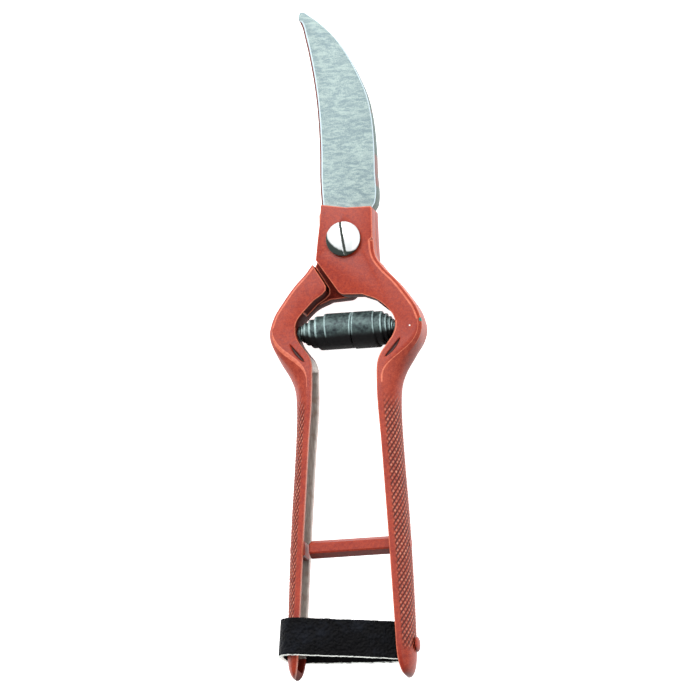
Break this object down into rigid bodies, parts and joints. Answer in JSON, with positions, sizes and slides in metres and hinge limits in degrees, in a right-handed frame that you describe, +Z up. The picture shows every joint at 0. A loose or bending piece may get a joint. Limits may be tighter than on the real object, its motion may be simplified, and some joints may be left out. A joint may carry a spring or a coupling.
{
  "type": "pruning shears",
  "caption": "Forged two-handled pruning shears with a curved blade, a volute spring between the bows, a stop bar and a leather closing strap, lying closed.",
  "frame": {"origin": "where the pivot's axis meets the nut's flat outer face, on which the tool lies", "axes": "+X towards the right handle, +Y along the tool to the blade's tip, +Z up, out of the face with the screw's head"},
  "size_m": [0.0526, 0.2307, 0.0172],
  "materials": {
    "arm_enamel": "brick-red enamel on forged steel, bare on the ground blade and inside the channels",
    "bright_steel": "polished steel",
    "dark_steel": "blued spring steel",
    "strap_leather": "black leather with a raw pale edge",
    "rivet_brass": "dull brass"
  },
  "bodies": {
    "cutting_arm": {"cutting_arm": "arm_enamel", "pivot_screw": "bright_steel", "lock_washer": "bright_steel", "pivot_nut": "bright_steel", "volute_spring": "dark_steel", "right_spring_peg": "dark_steel", "stop_bar": "arm_enamel", "strap": "strap_leather", "strap_rivet": "rivet_brass", "strap_rivet_burr": "rivet_brass"},
    "counter_arm": {"counter_arm": "arm_enamel", "left_spring_peg": "dark_steel", "stop_landing": "arm_enamel"}
  },
  "joints": [
    {"name": "pivot", "type": "hinge", "parent": "cutting_arm", "child": "counter_arm", "pos_m": [0, 0, 0.0086], "axis": [0, 0, -1], "range_deg": [0, 32], "deforming": ["volute_spring", "strap"]}
  ]
}
